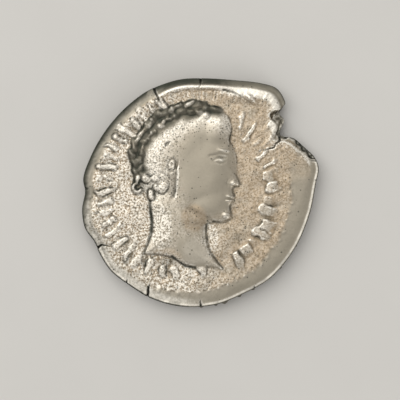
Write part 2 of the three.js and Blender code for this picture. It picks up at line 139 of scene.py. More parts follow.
# the portrait, as outlines; the face is a plain classical one
HEAD = [
    (0.6, HAIRLINE + 0.8), (1.3, HAIRLINE + 0.3), (BROW_X - 0.45, HAIRLINE - 0.3),
    (BROW_X - 0.12, BROW + 1.3), (BROW_X, BROW + 0.15), (BROW_X - 0.1, EYE + 0.15),
    (BROW_X + 0.3, EYE - 0.85), (BROW_X + 0.66, NOSE + 0.42), (BROW_X + 0.62, NOSE + 0.12),
    (BROW_X + 0.2, NOSE - 0.06), (BROW_X + 0.18, NOSE - 0.36), (BROW_X + 0.28, NOSE - 0.66),
    (BROW_X + 0.12, NOSE - 0.86), (BROW_X + 0.2, NOSE - 1.08), (BROW_X - 0.04, NOSE - 1.45),
    (BROW_X + 0.04, CHIN + 0.72), (BROW_X - 0.14, CHIN + 0.24), (BROW_X - 0.65, CHIN),
    (0.6, CHIN + 0.22), (-0.6, CHIN + 0.85), (-1.9, CHIN + 1.5), (-3.6, -0.55), (-4.7, 0.7),
    (-5.25, 2.0), (-5.3, 3.3), (-4.8, 4.7), (-3.8, 5.75), (-2.6, 6.5), (-1.2, 6.85),
]
NECK = [
    (-2.6, 0.2), (-3.85, -0.7), (-3.7, -2.1), (-3.72, -3.0), (-4.0, -3.8), (-4.3, -4.6),
    (-3.3, -4.68), (-2.3, -4.9), (-1.4, -5.4), (-0.5, -5.62), (0.7, -5.62), (1.75, -5.82),
    (1.25, -5.2), (0.75, -4.5), (0.48, -3.6), (0.45, -2.6), (0.5, -1.6), (-0.6, -0.4),
]
# the line that the rim of curls follows, from the forelock over the crown to the nape
CURL_LINE = [
    (1.25, 6.3), (0.35, 6.6), (-0.7, 6.8), (-1.9, 6.55), (-2.95, 6.1), (-3.75, 5.4), (-4.45, 4.7),
    (-4.95, 3.7), (-5.2, 2.7), (-5.15, 1.8), (-4.75, 0.95),
]
NAPE_LOOP = (-4.8, 0.4)
# worn curls of the nape: x, y, half length, half width, turn
NAPE_CURLS = [
    (-4.12, 1.06, 0.34, 0.3, 20), (-3.42, 1.13, 0.32, 0.26, 0), (-2.84, 0.42, 0.46, 0.34, 50),
    (-3.74, -0.12, 0.26, 0.42, 10), (-3.36, 0.42, 0.2, 0.3, 20),
]
# fine lines that wear has left in the portrait: path, half width, depth
FINE_LINES = [
    ([(-3.0, 1.6), (-2.62, 1.32), (-2.3, 1.06)], 0.12, 0.05),  # between two locks
    ([(0.95, EYE + 0.02), (1.4, EYE + 0.24), (1.96, EYE + 0.2)], 0.11, 0.05),  # the upper lid
    ([(1.05, EYE - 0.08), (1.5, EYE - 0.2), (1.92, EYE - 0.1)], 0.1, 0.035),  # the lower lid
    ([(0.7, BROW - 0.3), (1.4, BROW - 0.16), (2.1, BROW - 0.2)], 0.12, 0.04),  # under the brow
    ([(1.9, NOSE - 0.88), (2.4, NOSE - 0.86)], 0.1, 0.05),  # between the lips
    ([(2.1, NOSE + 0.62), (1.94, NOSE + 0.34), (2.1, NOSE + 0.1)], 0.1, 0.04),  # the nostril
]
# soft patches of the surface: place, half length, half width, turn, strength
DENT = [((-2.53, 3.7), 0.2, 0.13, 50, 1)]  # a small pit in the crown
SMOOTH_PLANES = [((0.35, 1.9), 2.0, 3.1, 0, 1), ((0.9, -0.3), 1.5, 1.3, 0, 1),
                 ((-0.6, -4.5), 1.5, 0.85, -46, 1)]  # the worn cheek, jaw and chest
# painted highlights on the neck's front and back, where its grain also shows
NECK_HIGHLIGHTS = [((0.95, -3.1), 0.95, 0.34, -72, 1), ((-3.0, -2.6), 1.6, 0.8, 90, 1)]
CLEAN_SLOPE = [((-3.85, 7.55), 0.36, 0.2, 60, 0.35)]  # where the rim's slope has lost its toning
CHEEK_SHADE, JAW_SHADE = [((0.3, 1.6), 1.6, 2.4, 0, 0.06)], [((-0.5, -1.9), 1.1, 1.1, 0, 0.24)]
CHEST_RUB = [((-0.1, -4.3), 1.2, 1.0, 0, 0.14)]
TAN_AND_JAW_SHADOW = [((-0.5, -1.9), 0.95, 1.0, 0, 0.8), ((-2.7, -4.9), 1.2, 0.7, 0, 0.7)]  # a tan film on the chest, and a painted shadow under the jaw
# hollows of the field that keep more toning
HOLLOWS = [
    ((-5.5, -4.95), 0.5, 0.36, 40, 0.75), ((-4.3, -5.3), 0.45, 0.24, 100, 0.35),
    ((-2.5, -5.35), 0.8, 0.36, -12, 0.5), ((-6.6, -3.9), 0.4, 0.24, 10, 0.45),
    ((5.4, -0.85), 0.6, 0.18, -6, 0.6), ((3.0, -3.3), 0.4, 0.3, 0, 0.3),
]
# dark lines where the toning stays: the back of the neck, and the cut of the bust
DARK_LINES = [
    [(-3.85, -0.6), (-3.7, -2.1), (-3.74, -3.0), (-4.02, -3.8), (-4.3, -4.55)],
    [(-2.15, -4.76), (-1.6, -5.2), (-1.1, -5.6), (-0.4, -5.66)],
    [(0.5, -3.3), (0.75, -4.4), (1.3, -5.2), (1.75, -5.75)],
]
# the legend is worn down to plain strokes: first and last direction, number, lean, width
LEGEND = [
    (106, 136, 5, 12, 0.46), (144, 171, 5, 5, 0.5), (181, 209, 5, 13, 0.5),
    (218, 243, 4, 6, 0.5), (252, 280, 4, 14, 0.56), (305, 330, 4, -8, 0.72),
    (337, 370, 5, -6, 0.8), (378, 412, 5, 18, 0.36),
]
REVERSE_LEGEND = [(20, 74, 5, 10, 0.5), (106, 160, 5, -12, 0.5), (198, 242, 5, 14, 0.5),
                  (298, 342, 5, -10, 0.5)]
ROBE = [
    (-0.9, 3.1), (-1.25, 1.6), (-1.0, 0.1), (-1.5, -2.2), (-1.75, -4.9), (0.2, -5.15), (1.9, -4.9),
    (1.55, -2.2), (1.05, 0.1), (1.35, 1.7), (0.9, 3.15), (0, 3.6),
]

# how strongly each part of the finish shows on the plain edge, between the two faces
WALL_FINISH = {"tone_and_shade": 0.7, "rub_and_sheen": 0.15, "film_and_shade": 0.1, "grain": 0.7, "pitted": 0.3}
WALL_PARTS = (0.12, 0.26, 0.42, 0.6, 0.8)  # how far down the edge its rings of points lie
THINNEST = 0.15  # the least metal between the two faces

# how many of each fit in a millimetre: specks of 0.15 mm and less, blotches of the film of 0.9 mm,
# pits in cells of 0.16 mm, and the 6 mm clouds of the floor's card
SPECKS, BLOTCHES, PITS, CLOUDS = 6.8, 1.1, 6.2, 0.16

# the stage, in metres
FLOOR_HALF = 0.6
KEY_PLACE, KEY_SIZE = (-0.12, 0.145, 0.27), 0.36
LOW_PLACE, LOW_SIZE = (0.2, -0.22, 0.12), 0.2
VIEW_WIDTH = 0.03024  # what the view spans at the height of the coin's face
VIEW_MIDDLE = (-0.00004, -0.00053)


# ---- What a user would change ----

def linear(code):
    """An sRGB hex colour as linear red, green and blue."""
    parts = [int(code[i:i + 2], 16) / 255 for i in (1, 3, 5)]
    return tuple(p / 12.92 if p <= 0.04045 else ((p + 0.055) / 1.055) ** 2.4 for p in parts)


def length(name, description, millimetres):
    """A length that a user may change."""
    return FloatProperty(name=name, description=description, default=millimetres / MM,
                         min=0, unit="LENGTH", precision=5)


def colour(name, description, code):
    """A colour that a user may change."""
    return FloatVectorProperty(name=name, description=description, default=linear(code),
                               subtype="COLOR", size=3, min=0, max=1)


def share(name, description, value, top=1):
    """A plain number that a user may change."""
    return FloatProperty(name=name, description=description, default=value, min=0, max=top)


class CoinSizes(PropertyGroup):
    """Sizes of the coin's relief."""
    coin_top: length("Relief top", "Height of the portrait's worn high points", HIGH[2])
    field: length("Obverse field", "Height of the ground round the portrait", 1.42)
    reverse_field: length("Reverse field", "Height of the reverse's ground", 0.3)
    ledge: length("Chip floor", "Height of the broken floor of the chip", 0.78)
    grain: length("Grain height", "Height of the pitted grain of the fields", 0.011)
    cells: IntProperty(name="Mesh density", default=256, min=64, max=256, step=2,
                       description="Squares across the obverse; an even number")


class SilverFinish(PropertyGroup):
    """Colours and gloss of the worn silver."""
    bright: colour("Rubbed silver", "Silver that is rubbed bright on edges and grain", "#EFE8DA")
    plane: colour("Worn silver", "Smooth silver of the worn planes", "#A69D8C")
    film_and_shade: colour("Warm film", "Thin tan film in the fields", "#B29E83")
    toning_and_shade: colour("Dark toning", "Grey-brown toning of slopes and hollows", "#3C3D35")
    smooth: share("Worn roughness", "Roughness of the smooth worn planes", 0.42)
    rough: share("Field roughness", "Roughness of the grained fields", 0.5)


class StudioSetup(PropertyGroup):
    """Floor and lights."""
    floor: colour("Floor", "Pale matt card", "#C9C6C0")
    key: share("Key light", "Radiance of the soft light at the upper left", 1.75, top=50)
    low: share("Low light", "Radiance of the low light across from it", 1.5, top=50)
    sky: share("Surroundings", "Brightness of the even surroundings", 0.6, top=10)


# ---- Curves and distances ----

def closed_curve(knots, steps=8):
    """Points along the closed centripetal curve through the knots."""
    p1 = np.array(knots, float)
    p0, p2, p3 = np.roll(p1, 1, 0), np.roll(p1, -1, 0), np.roll(p1, -2, 0)
    d0, d1, d2 = (np.sqrt(np.linalg.norm(b - a, axis=1))[:, None]
                  for a, b in ((p0, p1), (p1, p2), (p2, p3)))
    leave = ((p1 - p0) / d0 - (p2 - p0) / (d0 + d1)) * d1 + (p2 - p1)
    arrive = ((p3 - p2) / d2 - (p3 - p1) / (d1 + d2)) * d1 + (p2 - p1)
    t = np.linspace(0, 1, steps, endpoint=False)[None, :, None]
    a, b, m, n = (v[:, None] for v in (p1, p2, leave, arrive))
    return ((2 * t ** 3 - 3 * t ** 2 + 1) * a + (t ** 3 - 2 * t ** 2 + t) * m
            + (3 * t ** 2 - 2 * t ** 3) * b + (t ** 3 - t ** 2) * n).reshape(-1, 2)


def to_segment(x, y, a, b):
    """Squared distance from a segment, and how far along it the nearest place is, 0 to 1."""
    (ax, ay), (ux, uy) = a, b - a
    t = np.clip(((x - ax) * ux + (y - ay) * uy) / (ux * ux + uy * uy + TINY), 0, 1)
    return (x - ax - t * ux) ** 2 + (y - ay - t * uy) ** 2, t


def inside(x, y, line):
    """How far each point lies inside a closed line; less than nothing outside it."""
    near, odd = np.full(x.shape, FAR), np.zeros(x.shape, bool)
    for a, b in zip(line, np.roll(line, -1, 0)):
        near = np.minimum(near, to_segment(x, y, a, b)[0])
        (ax, ay), (ux, uy) = a, b - a
        if abs(uy) > TINY:
            odd ^= ((ay > y) != (b[1] > y)) & (x < ax + (y - ay) * ux / uy)
    return np.where(odd, 1, -1) * np.sqrt(near)


def lengths(points):
    """How far along an open path each of its points is."""
    return np.concatenate([[0], np.cumsum(np.linalg.norm(np.diff(points, axis=0), axis=1))])


def from_path(x, y, path):
    """Distance from an open path, and how far along the path the nearest place is, 0 to 1."""
    near, along = np.full(x.shape, FAR), np.zeros(x.shape)
    points = np.array(path, float)
    reach = lengths(points) / lengths(points)[-1]
    for a, b, start, end in zip(points, points[1:], reach, reach[1:]):
        far, t = to_segment(x, y, a, b)
        along = np.where(far < near, start + t * (end - start), along)
        near = np.minimum(near, far)
    return np.sqrt(near), along


def ramp(value, low, high):
    """0 below low, 1 above high, smooth between them."""
    t = np.clip((value - low) / (high - low), 0, 1)
    return t * t * (3 - 2 * t)


def bump(value, middle, half):
    """1 at the middle, falling smoothly to 0 at half on either side."""
    return ramp(half - np.abs(value - middle), 0, half)


def direction(x, y):
    """Degrees anticlockwise from the right, 0 to 360."""
    return np.degrees(np.arctan2(y, x)) % 360


def away(turn, middle):
    """Degrees between directions, at most 180."""
    return np.abs((turn - middle + 180) % 360 - 180)


def blur(sheet, sigma):
    """The sheet with everything finer than sigma millimetres smoothed away."""
    cells = sigma / GRID
    reach = max(1, int(cells * 2.6))
    weights = np.exp(-0.5 * (np.arange(-reach, reach + 1) / cells) ** 2)
    weights /= weights.sum()
    for axis in (0, 1):
        pad = [(reach, reach) if a == axis else (0, 0) for a in (0, 1)]
        wide = np.pad(sheet, pad, mode="edge")
        size = sheet.shape[axis]
        sheet = sum(w * wide.take(range(i, i + size), axis) for i, w in enumerate(weights))
    return sheet


def between(sheet, i, j, s, t):
    """Values of a sheet between its points, s and t past column i and row j."""
    low = sheet[j, i] * (1 - s) + sheet[j, i + 1] * s
    return low * (1 - t) + (sheet[j + 1, i] * (1 - s) + sheet[j + 1, i + 1] * s) * t


def cloud(x, y, size, seed):
    """Smooth seeded unevenness, about -1 to 1, with lumps of the given size in millimetres."""
    count = 600  # values to a side, before they repeat
    values = np.random.default_rng(seed).uniform(-1, 1, (count, count))
    u, v = (w / size + (count + 1) / 2 for w in (x, y))
    i, j = np.floor(u).astype(int), np.floor(v).astype(int)
    return between(values, i % (count - 1), j % (count - 1), ramp(u - i, 0, 1), ramp(v - j, 0, 1))


# ---- The ground of the relief ----

class Ground:
    """Points over the whole coin, with their distance in from the edge and their direction."""

    def __init__(self):
        spare = 0.4  # mm of empty ground round the flan
        xs, ys = (np.arange(LOW[k] - spare, HIGH[k] + spare, GRID) for k in (0, 1))
        self.x, self.y = np.meshgrid(xs, ys)
        self.start = xs[0], ys[0]
        line = closed_curve(FLAN[::-1], 24)  # anticlockwise
        turns = direction(*line.T)
        first = int(np.argmin(turns))
        turns = np.maximum.accumulate(np.roll(turns, -first))
        self.turns, self.reaches = turns, np.roll(np.hypot(*line.T), -first)
        self.turn = direction(self.x, self.y)
        self.inset = self.edge(self.turn) - np.hypot(self.x, self.y)
        self.ring = np.hypot(self.x - DIE[0], self.y - DIE[1])
        self.left = ramp(-self.x - 0.2 * self.y, -2.5, 4)  # brighter and more grained towards the left
        # how strongly the rim is raised, is worn to a shoulder or has its sharp crest
        self.raised = ramp(np.cos(np.radians(self.turn - RIM_TURN)), -0.45, 0.55)
        self.shoulder, self.crested = self.about(*SHOULDER_PART), self.about(*CREST_PART)
        self.steep = self.inset * (1 + 0.32 * self.crested)  # the slope is shorter below the crest

    def edge(self, turn):
        """The outline's distance from the middle in a direction."""
        return np.interp(turn % 360, self.turns, self.reaches, period=360)

    def about(self, middle, reach, fade):
        """1 near a direction, fading to 0 at the given reach on both sides of it."""
        return ramp(reach - away(self.turn, middle), 0, fade)

    def read(self, sheet, x, y):
        """A sheet's values at any places."""
        u, v = (x - self.start[0]) / GRID, (y - self.start[1]) / GRID
        i = np.clip(np.floor(u).astype(int), 0, sheet.shape[1] - 2)
        j = np.clip(np.floor(v).astype(int), 0, sheet.shape[0] - 2)
        return between(sheet, i, j, np.clip(u - i, 0, 1), np.clip(v - j, 0, 1))


def profile(inset, one, other=None, mix=0):
    """Height over the distance in from the edge, between two profiles."""
    other = other or one
    insets = [a[0] + (b[0] - a[0]) * mix for a, b in zip(one, other)]
    heights = [a[1] + (b[1] - a[1]) * mix for a, b in zip(one, other)]
    total = heights[0] + 1.6 * np.minimum(inset, 0)
    for k in range(len(one) - 1):
        step = np.clip((inset - insets[k]) / (insets[k + 1] - insets[k]), 0, 1)
        total = total + (heights[k + 1] - heights[k]) * step
    return total


def turned(x, y, place, turn):
    """Places along and across a direction, from a place."""
    c, s = math.cos(math.radians(turn)), math.sin(math.radians(turn))
    return (x - place[0]) * c + (y - place[1]) * s, (y - place[1]) * c - (x - place[0]) * s


def oval(x, y, place, long, wide, turn):
    """Distance from a place, where an ellipse round it is at 1."""
    u, v = turned(x, y, place, turn)
    return np.hypot(u / long, v / wide)


def either(a, b, soft=0.03):
    """The higher of two sheets, rounded where they meet."""
    near = np.maximum(soft - np.abs(a - b), 0)
    return np.maximum(a, b) + near * near / (4 * soft)


def mound(x, y, place, long, wide, turn, top, foot):
    """A low domed form; far below everything outside its foot."""
    r = oval(x, y, place, long, wide, turn)
    return np.where(r < 1, foot + (top - foot) * (1 - r * r), -9.0)


def stroke(x, y, place, long, wide, turn, top, foot, wedge=0.0, worn=0.0):
    """A short bar with rounded ends, sloping sides and a flat worn top, wider at one end."""
    u, v = turned(x, y, place, turn)
    half = wide / 2 * (1 + wedge * u / long)
    far = (np.maximum(np.abs(u) - (long - wide) / 2, 0) ** 4 + v ** 4) ** 0.25
    fade = 1 - worn * ramp(u / long, -0.1, 0.5)  # how much lower its outer end is worn
    return foot + (top - foot) * fade * ramp(half + 0.05 - far, 0, 0.15)


def on_ring(middle, ring, turn):
    """A place on a ring round a middle."""
    angle = math.radians(turn)
    return middle[0] + ring * math.cos(angle), middle[1] + ring * math.sin(angle)


def legend(x, y, runs, middle, ring, top, foot):
    """The worn rows of strokes, side by side and no two of them alike."""
    rng = np.random.default_rng(42)
    made = np.full(x.shape, foot)
    for start, end, count, lean, wide in runs:
        for i in range(count):
            turn = start + (end - start) * i / (count - 1) + rng.uniform(-0.7, 0.7)
            place = on_ring(middle, ring + rng.uniform(-0.26, 0.12), turn)
            worn = 0.75 * ramp(math.cos(math.radians(turn - 330)), -0.2, 0.6)
            crown = top - 0.03 * (i * 2 % 5) - 0.02 * worn
            wedge = 0.5 * (1 - 2 * (i % 2))  # one stroke widens outwards, the next inwards
            made = np.maximum(made, stroke(
                x, y, place, rng.uniform(1.0, 1.75), wide * rng.uniform(0.8, 1.2),
                turn + lean * rng.uniform(0.7, 1.2), crown, foot, wedge, worn))
    return made


def beads(x, y, middle, ring, arc, top, foot):
    """Part of a worn ring of beads."""
    start, end, step = arc
    size = 0.26
    made = np.full(x.shape, foot)
    for i in range(round((end - start) / step) + 1):
        place = on_ring(middle, ring, start + i * step)
        made = np.maximum(made, mound(x, y, place, size, size, 0, top, foot))
    return made


# ---- The portrait ----

def head(coin, field, top):
    """The head and the neck, over the field."""
    x, y = coin.x, coin.y
    rise = lambda part: field + part * (top - field)
    swell = lambda deep, insets, parts: np.interp(
        deep, [-0.06, 0.02, *insets], [-9, field, *map(rise, parts)])
    deep = inside(x, y, closed_curve(HEAD))
    # the crown swells up slowly behind the curls, the face rises more steeply
    crown = swell(deep, [0.3, 0.9, 1.5, 2.3, 3.2], [0.2, 0.45, 0.7, 0.9, 1])
    front = swell(deep, [0.12, 0.34, 0.9, 1.8], [0.4, 0.58, 0.76, 0.88])
    mass = crown + (front - crown) * ramp(x - 0.3 * y, -2.4, 0.8)
    deep = inside(x, y, closed_curve(NECK))
    neck = swell(deep, [0.12, 0.36, 0.9, 1.6], [0.34, 0.48, 0.62, 0.72])
    made = either(mass, neck, 0.05)
    for place, long, wide, turn, part in [
        ((0.1, NOSE + 1.0), 3.3, 2.5, 66, 1.14),  # the cheek's worn plane
        ((0.5, CHIN + 1.35), 1.8, 1.3, 30, 0.92),  # the jaw
        ((1.2, HAIRLINE - 1.1), 1.5, 1.1, 78, 0.94),  # the forehead
        ((1.6, BROW + 0.1), 0.8, 0.24, -8, 0.96),  # the brow
        ((1.52, EYE + 0.02), 0.5, 0.25, -6, 0.92),  # the eye in its lids
        ((BROW_X + 0.16, NOSE + 0.34), 0.42, 0.28, 24, 0.84),  # the wing of the nose
        ((BROW_X - 0.14, NOSE - 0.7), 0.44, 0.14, -12, 0.82),  # the lips
        ((BROW_X - 0.18, NOSE - 1.02), 0.4, 0.15, 8, 0.82),
        ((BROW_X - 0.42, CHIN + 0.56), 0.46, 0.4, 0, 0.9),  # the chin
    ]:
        form = mound(x, y, place, long, wide, turn, rise(part), rise(0.2))
        made = either(made, form, 0.04 if wide < 0.8 else 0.14)
    # the eye stands in a shallow socket, between the brow and the cheek
    made = made - 0.05 * ramp(1 - oval(x, y, (1.3, EYE + 0.3), 0.85, 0.2, -6), 0, 0.8)
    # the jaw stands out over the neck
    far, _ = from_path(x, y, [(-1.4, CHIN + 1.35), (-0.4, CHIN + 0.62), (0.5, CHIN + 0.12)])
    return made - 0.08 * ramp(0.45 - far, 0, 0.45) * ramp(CHIN + 1.6 - y, 0, 0.8)


def locks():
    """Two rows of worn locks: place, half length, half width, turn, height and bright rubbing."""
    rng = np.random.default_rng(14)
    line = np.array(CURL_LINE)
    reach = lengths(line)
    at = 0.1
    while at < reach[-1]:
        long = rng.uniform(0.38, 0.7)
        for row, deep in enumerate((rng.uniform(0.0, 0.26), rng.uniform(0.5, 0.8))):
            place = np.array([np.interp(at + 0.45 * row, reach, line[:, k]) for k in (0, 1)])
            inward = np.array([-1.4, 2.5]) - place
            turn = math.degrees(math.atan2(-inward[0], inward[1])) + rng.uniform(-38, 38)
            place = place + inward * deep / np.linalg.norm(inward)
            yield (place, long * (1 - 0.2 * row), rng.uniform(0.26, 0.4), turn, 0.6 + 0.14 * row,
                   rng.uniform(-1.3, 0.8))
        at += 1.1 * long


def hair(coin, made, field, top):
    """Locks round the head and the curls of the nape, and where they are rubbed bright."""
    rise = lambda part: field + part * (top - field)
    x = coin.x + 0.1 * cloud(coin.x, coin.y, 0.34, 19)
    y = coin.y + 0.1 * cloud(coin.x, coin.y, 0.34, 20)
    shine = np.zeros(x.shape)
    for place, long, wide, turn, part, rubbed in locks():
        lock = mound(x, y, place, long, wide, turn, rise(part), rise(part - 0.5))
        made = either(made, lock, 0.05)
        far = oval(x, y, place, 0.7 * long, 0.5 * wide, turn)
        shine = np.maximum(shine, rubbed * ramp(1.1 - far, 0, 0.5))
    x, y = (x + coin.x) / 2, (y + coin.y) / 2
    for px, py, *form in NAPE_CURLS:
        r = oval(x, y, (px, py), *form)
        made = made - 0.05 * bump(r, 1.14, 0.2)
        made = np.where(r < 1.08, np.maximum(made, rise(0.9) - 0.05 * r ** 4), made)
    far, _ = from_path(x, y, [on_ring(NAPE_LOOP, 0.33, a) for a in range(96, 350, 20)])
    made = np.where(far < 0.15, np.maximum(made, rise(0.5) - 0.14 * (far / 0.15) ** 2), made)
    return made, shine


def fine_cuts(coin):
    """Depth of the worn plane's sharp fine lines, and a painted highlight on the side hair's edge.
    """
    x, y = coin.x, coin.y
    shell = oval(x, y, (-2.16, 2.1), 0.42, 0.26, 80)  # what is left of the ear
    cut = 0.1 * bump(shell, 1.1, 0.34) + 0.05 * bump(shell, 0, 0.5)
    # the side hair lies a little lower than the cheek's plane
    side = x + 1.93 - (y + 0.23) * 0.09 + 0.05 * cloud(x, y, 0.4, 37)
    step = ramp(-side, -0.02, 0.05) * ramp(side + 0.36, 0, 0.32)
    step = step * ramp(y, -0.6, -0.1) * ramp(2.6 - y, 0, 0.4)
    cut = cut + 0.11 * step
    # a painted highlight along the side hair's edge
    lit = bump(side, 0.08, 0.08) * ramp(y, -0.7, -0.3) * ramp(2.2 - y, 0, 0.5)
    for path, half, deep in FINE_LINES:
        far, along = from_path(x, y, path)
        even = 0.5 + 0.5 * bump(along, 0.5, 0.7)
        cut = np.maximum(cut, deep * ramp(half - far, 0, half) * even)
    return cut, lit


# ---- The reverse ----

def reverse_relief(coin, depth):
    """The reverse's relief over its field: a worn robed figure with a staff."""
    x, y = coin.x - REVERSE_DIE[0], REVERSE_DIE[1] - coin.y
    raised = lambda part: part * depth
    made = np.interp(inside(x, y, closed_curve(ROBE)), [-0.05, 0, 0.14, 0.5],
                     [0, 0.02, raised(0.5), raised(0.66)])
    for *form, top, foot in [
        ((0, 4.35), 0.8, 0.95, 0, 0.98, 0),  # the head
        ((-2.0, 1.75), 1.5, 0.5, 22, 0.8, 0), ((1.9, 1.9), 1.5, 0.5, 34, 0.8, 0),  # the arms
        ((0.05, 0.3), 1.35, 0.4, -24, 1, 0), ((0, 2.2), 0.95, 0.8, 0, 1, 0),  # waist and chest
        *[((-1.04 + 0.52 * i, -2.75), 2.1 - 0.2 * (i % 2), 0.25, 94 - 2.6 * i, 1, 0.2)
          for i in range(5)],  # the folds of the robe
    ]:
        made = np.maximum(made, mound(x, y, *form, raised(top), raised(foot)))
    warp = 0.08 * cloud(x, y, 0.6, 31)
    return np.max([
        made,
        stroke(x, y, (2.9, -0.75), 8.4, 0.36, 90, raised(0.7), 0),  # the staff
        stroke(x, y, (0, -5.5), 8.2, 0.4, 0, raised(0.6), 0),  # the line it stands on
        legend(x + warp, y - warp, REVERSE_LEGEND, (0, 0), REVERSE_LEGEND_RING, raised(0.7), 0),
        beads(x, y, (0, 0), REVERSE_BEAD_RING, REVERSE_BEAD_ARC, raised(0.6), 0)], axis=0)


# ---- Both faces, with their damage and wear ----

def cracked(coin, z, cracks, strength=1.0):
    """Cuts the cracks into a sheet of heights, and tells how deep they go."""
    cut = np.zeros(z.shape)
    warp = 0.07 * cloud(coin.x, coin.y, 0.35, 17)
    for path, wide, deep in cracks:
        far, along = from_path(coin.x + warp, coin.y - warp, path)
        half = wide / 2 * (1 - 0.7 * along)
        gape = ramp(1.25 - far / half, 0, 0.9) * (1 - 0.8 * along ** 1.5)
        cut = np.maximum(cut, gape * ramp(1 - along, 0, 0.08) * deep)
    return z - strength * cut, cut


def broken(coin, z, knots, inset, floor, seed):
    """Breaks a part of the edge away, down to a gritty floor that falls to the outside."""
    x, y = coin.x, coin.y
    grit = 0.12 * cloud(x, y, 0.4, seed) + 0.07 * cloud(x, y, 0.16, seed + 1)
    warp = 0.06 * cloud(x, y, 0.25, seed + 2)
    deep = inside(x + warp, y - warp, closed_curve(knots, 2)) - inset
    bottom = floor + grit + 0.2 * ramp(0.7 - deep, 0, 0.7)
    gone = ramp(deep, -0.02, 0.1)
    lowered = np.minimum(z, z + (bottom - z) * gone)
    return np.where(gone > 0, lowered, z), gone


def patch(coin, places):
    """Soft-edged ellipses: place, half length, half width, turn, strength."""
    sheet = np.zeros(coin.x.shape)
    for *form, strength in places:
        sheet = np.maximum(sheet, strength * ramp(1.25 - oval(coin.x, coin.y, *form), 0, 0.5))
    return sheet


def flan_surface(coin, field):
    """The flan under the design: the rim's slope and crest, the shoulder and the plain margin."""
    flan = profile(coin.steep, THIN_EDGE, RIM_EDGE, coin.raised)
    flan = flan + (profile(coin.inset, WORN_EDGE) - flan) * (1 - coin.crested) * coin.raised
    flan = flan + (profile(coin.inset, SHOULDER) - flan) * coin.shoulder
    return either(flan, mound(coin.x, coin.y, *LUMP, field + 0.26, field - 0.1), 0.05)


def struck_rows(coin, flan, field):
    """The flan with its legend and its beads, and the legend's strokes alone."""
    x, y = coin.x, coin.y
    warp = [0.14 * cloud(x, y, 0.6, seed) + 0.09 * cloud(x, y, 0.3, seed + 30) for seed in (3, 4)]
    places = x + warp[0], y + warp[1]
    rows = legend(*places, LEGEND, DIE, LEGEND_RING, field + LEGEND_RISE, field - LEGEND_FOOT)
    beading = beads(*places, DIE, BEAD_RING, BEAD_ARC, field + BEAD_RISE, field - BEAD_FOOT)
    dip = 0.012 * ramp(blur((rows > field) * 1.0, 0.14), 0.02, 0.4)  # metal sinks round a stroke
    # on the left the strokes are worn away in patches
    worn = ramp(-x - 0.2 * y, 0, 3) * (1 - 0.65 * ramp(-y, 2.5, 4))
    rows = rows - 0.11 * worn * ramp(cloud(x, y, 0.42, 41) + 0.4 * cloud(x, y, 0.2, 43), 0.15, 0.9)
    rows = rows + 0.85 * np.clip(flan - field, 0, 0.2)  # the strokes ride up the rim's foot
    return np.maximum(flan - dip, either(rows, beading)), rows


def smoothness(coin, bust):
    """Where the worn planes and the margin, the rim's slope, and all of the surface are smooth."""
    outside = coin.ring + 0.1 * cloud(coin.x, coin.y, 0.4, 9)
    margin = ramp(outside, BEAD_RING - 0.25, BEAD_RING + 0.1) * coin.about(*MARGIN_PART)
    plain = np.maximum(patch(coin, SMOOTH_PLANES) * bust, margin)
    bevel = ramp(0.8 - coin.inset, 0, 0.15) * coin.raised
    lip = ramp(0.75 - coin.inset, 0, 0.2) * (1 - coin.raised)
    shoulder = 0.9 * coin.shoulder * ramp(1.5 - coin.inset, 0, 0.5)
    return plain, bevel, np.clip(np.max([plain, bevel, lip, shoulder], axis=0), 0, 1)


def edge_toning(coin):
    """Dark toning of the rim's slope, with a thin dark outline all round."""
    sharp = np.interp(coin.steep, [0.14, 0.3, 0.48, 0.62, 0.76], [1, 0.92, 0.62, 0.28, 0])
    soft = np.interp(coin.inset, [0.1, 0.25, 0.45, 0.7, 1.0], [1, 0.78, 0.4, 0.16, 0])
    tone_and_shade = coin.raised * (soft + (sharp - soft) * coin.crested) * (1 - 0.25 * coin.shoulder)
    tone_and_shade = tone_and_shade * (1 - patch(coin, CLEAN_SLOPE))
    outline = 0.08 + 0.04 * coin.about(*OUTLINED_PART)
    return np.maximum(tone_and_shade, ramp(outline - coin.inset, 0, 0.05))


def edge_rubbing_and_highlights(coin):
    """Bright wear and painted highlights on the rim's crests, its shoulder and the thin edge."""
    inset = coin.inset
    crest = 1.5 * bump(coin.steep, 0.85, 0.16) * coin.crested
    crest = crest * (0.7 + 0.4 * cloud(coin.x, coin.y, 1.2, 34))
    # rubbing, with painted highlights, on the crest, the thin edge, the shoulder and in the flake
    return np.max([
        crest + 1.8 * bump(inset, 0.15, 0.1) * (1 - coin.raised),
        coin.shoulder * ramp(inset, 0.4, 0.66) * ramp(1.4 - inset, 0, 0.5),
        0.75 * bump(inset, 0.4, 0.38) * coin.about(*RUBBED_HIGHLIGHT_PART),
        1.2 * bump(inset, 0.62, 0.16) * coin.about(*FLAKE_PART)], axis=0)


def hair_toning(coin, far, bust):
    """Dark toning of the hair's slope, soft towards the crown, and of the nape."""
    x, y = coin.x, coin.y
    reach = 1.5 - 0.75 * ramp(x, -1.2, 1.0) - 0.75 * ramp(2.0 - y, 0, 0.9)
    band = ramp(reach - far + 0.26 * cloud(x, y, 0.6, 15), 0, 0.6) * bust
    nape = np.hypot(x - NAPE_LOOP[0], y - NAPE_LOOP[1])
    return np.maximum(band, 0.5 * ramp(0.5 - nape, 0, 0.15))


